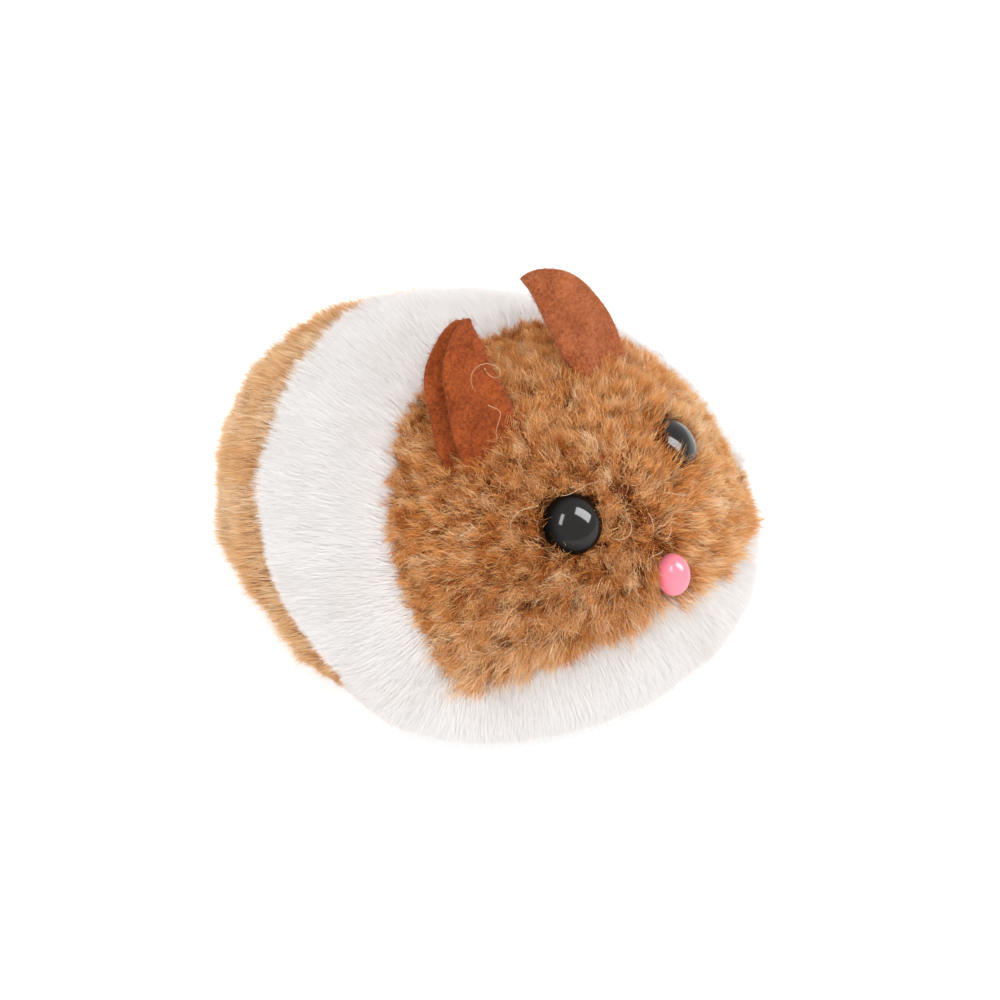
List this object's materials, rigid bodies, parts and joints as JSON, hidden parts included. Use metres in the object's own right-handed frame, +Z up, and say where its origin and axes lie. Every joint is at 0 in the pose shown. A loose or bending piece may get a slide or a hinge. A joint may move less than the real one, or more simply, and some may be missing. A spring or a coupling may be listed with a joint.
{
  "type": "wind-up mouse toy",
  "caption": "Plush wind-up mouse with felt ears, safety eyes and nose, over a tray that holds a spring motor, driven rear wheels and idle front wheels.",
  "frame": {"origin": "middle of the base tray underside", "axes": "the mouse faces -Y, its left is +X, +Z is up"},
  "size_m": [0.0776, 0.0836, 0.0511],
  "materials": {
    "white_plush": "long soft pile",
    "brown_plush": "long clumped pile",
    "golden_plush": "long soft pile",
    "ear_felt": "pressed felt",
    "filling": "fibre filling",
    "eye_black": "polished",
    "nose_pink": "satin gloss",
    "washer_white": "moulded",
    "tray_plastic": "moulded",
    "hood_plastic": "moulded",
    "gear_plastic": "moulded",
    "tyre_rubber": "moulded",
    "steel": "bright",
    "spring_steel": "blued",
    "brass": "stamped"
  },
  "bodies": {
    "body": {"body_cover": "white_plush", "face_cover": "brown_plush", "rear_cover": "golden_plush", "left_ear": "ear_felt", "right_ear": "ear_felt", "stuffing": "filling", "left_eye": "eye_black", "right_eye": "eye_black", "nose": "nose_pink", "left_eye_washer": "washer_white", "right_eye_washer": "washer_white", "nose_washer": "washer_white", "base_tray": "tray_plastic", "motor_hood": "hood_plastic", "motor_plate_left": "steel", "motor_plate_right": "steel", "mainspring": "spring_steel", "pallet_pin": "steel", "hood_screw_1": "steel", "frame_screw_1": "steel", "frame_pillar_1": "steel", "hood_screw_2": "steel", "frame_screw_2": "steel", "frame_pillar_2": "steel", "hood_screw_3": "steel", "frame_screw_3": "steel", "frame_pillar_3": "steel", "hood_screw_4": "steel", "frame_screw_4": "steel", "frame_pillar_4": "steel"},
    "winding_train": {"winding_arbor": "steel", "ratchet_wheel": "steel", "winding_key": "steel"},
    "great_wheel_train": {"great_wheel": "brass", "click_spring": "spring_steel"},
    "second_train": {"second_arbor": "steel", "second_pinion": "gear_plastic", "second_wheel": "brass"},
    "escape_train": {"escape_arbor": "steel", "escape_pinion": "gear_plastic", "escape_wheel": "brass"},
    "pallet": {"pallet_lever": "gear_plastic"},
    "drive_wheels": {"drive_axle": "steel", "axle_pinion": "gear_plastic", "left_hub": "gear_plastic", "right_hub": "gear_plastic", "left_tyre": "tyre_rubber", "right_tyre": "tyre_rubber"},
    "front_wheels": {"front_axle": "steel", "left_front_wheel": "gear_plastic", "right_front_wheel": "gear_plastic"}
  },
  "joints": [
    {"name": "drive_wheels_spin", "type": "hinge", "parent": "body", "child": "drive_wheels", "pos_m": [0, 0.0165, 0.0051], "axis": [1, 0, 0], "continuous": true},
    {"name": "second_wheel_spin", "type": "hinge", "parent": "body", "child": "second_train", "pos_m": [0, 0.01418, 0.01411], "axis": [1, 0, 0], "continuous": true},
    {"name": "great_wheel_spin", "type": "hinge", "parent": "body", "child": "great_wheel_train", "pos_m": [0, 0.004, 0.0105], "axis": [1, 0, 0], "continuous": true},
    {"name": "escape_wheel_spin", "type": "hinge", "parent": "body", "child": "escape_train", "pos_m": [0, 0.00729, 0.01989], "axis": [1, 0, 0], "continuous": true},
    {"name": "pallet_rock", "type": "hinge", "parent": "body", "child": "pallet", "pos_m": [0, -0.00009, 0.01925], "axis": [1, 0, 0], "range_deg": [-3, 3]},
    {"name": "winding_key_turn", "type": "hinge", "parent": "body", "child": "winding_train", "pos_m": [0, 0.004, 0.0105], "axis": [1, 0, 0], "range_deg": [-1440, 0]},
    {"name": "front_wheels_spin", "type": "hinge", "parent": "body", "child": "front_wheels", "pos_m": [0, -0.022, 0.0026], "axis": [1, 0, 0], "continuous": true}
  ],
  "couplings": [
    {"joint": "second_wheel_spin", "follows": "drive_wheels_spin", "ratio": -0.40909},
    {"joint": "great_wheel_spin", "follows": "drive_wheels_spin", "ratio": 0.15734},
    {"joint": "escape_wheel_spin", "follows": "drive_wheels_spin", "ratio": 1.125}
  ]
}
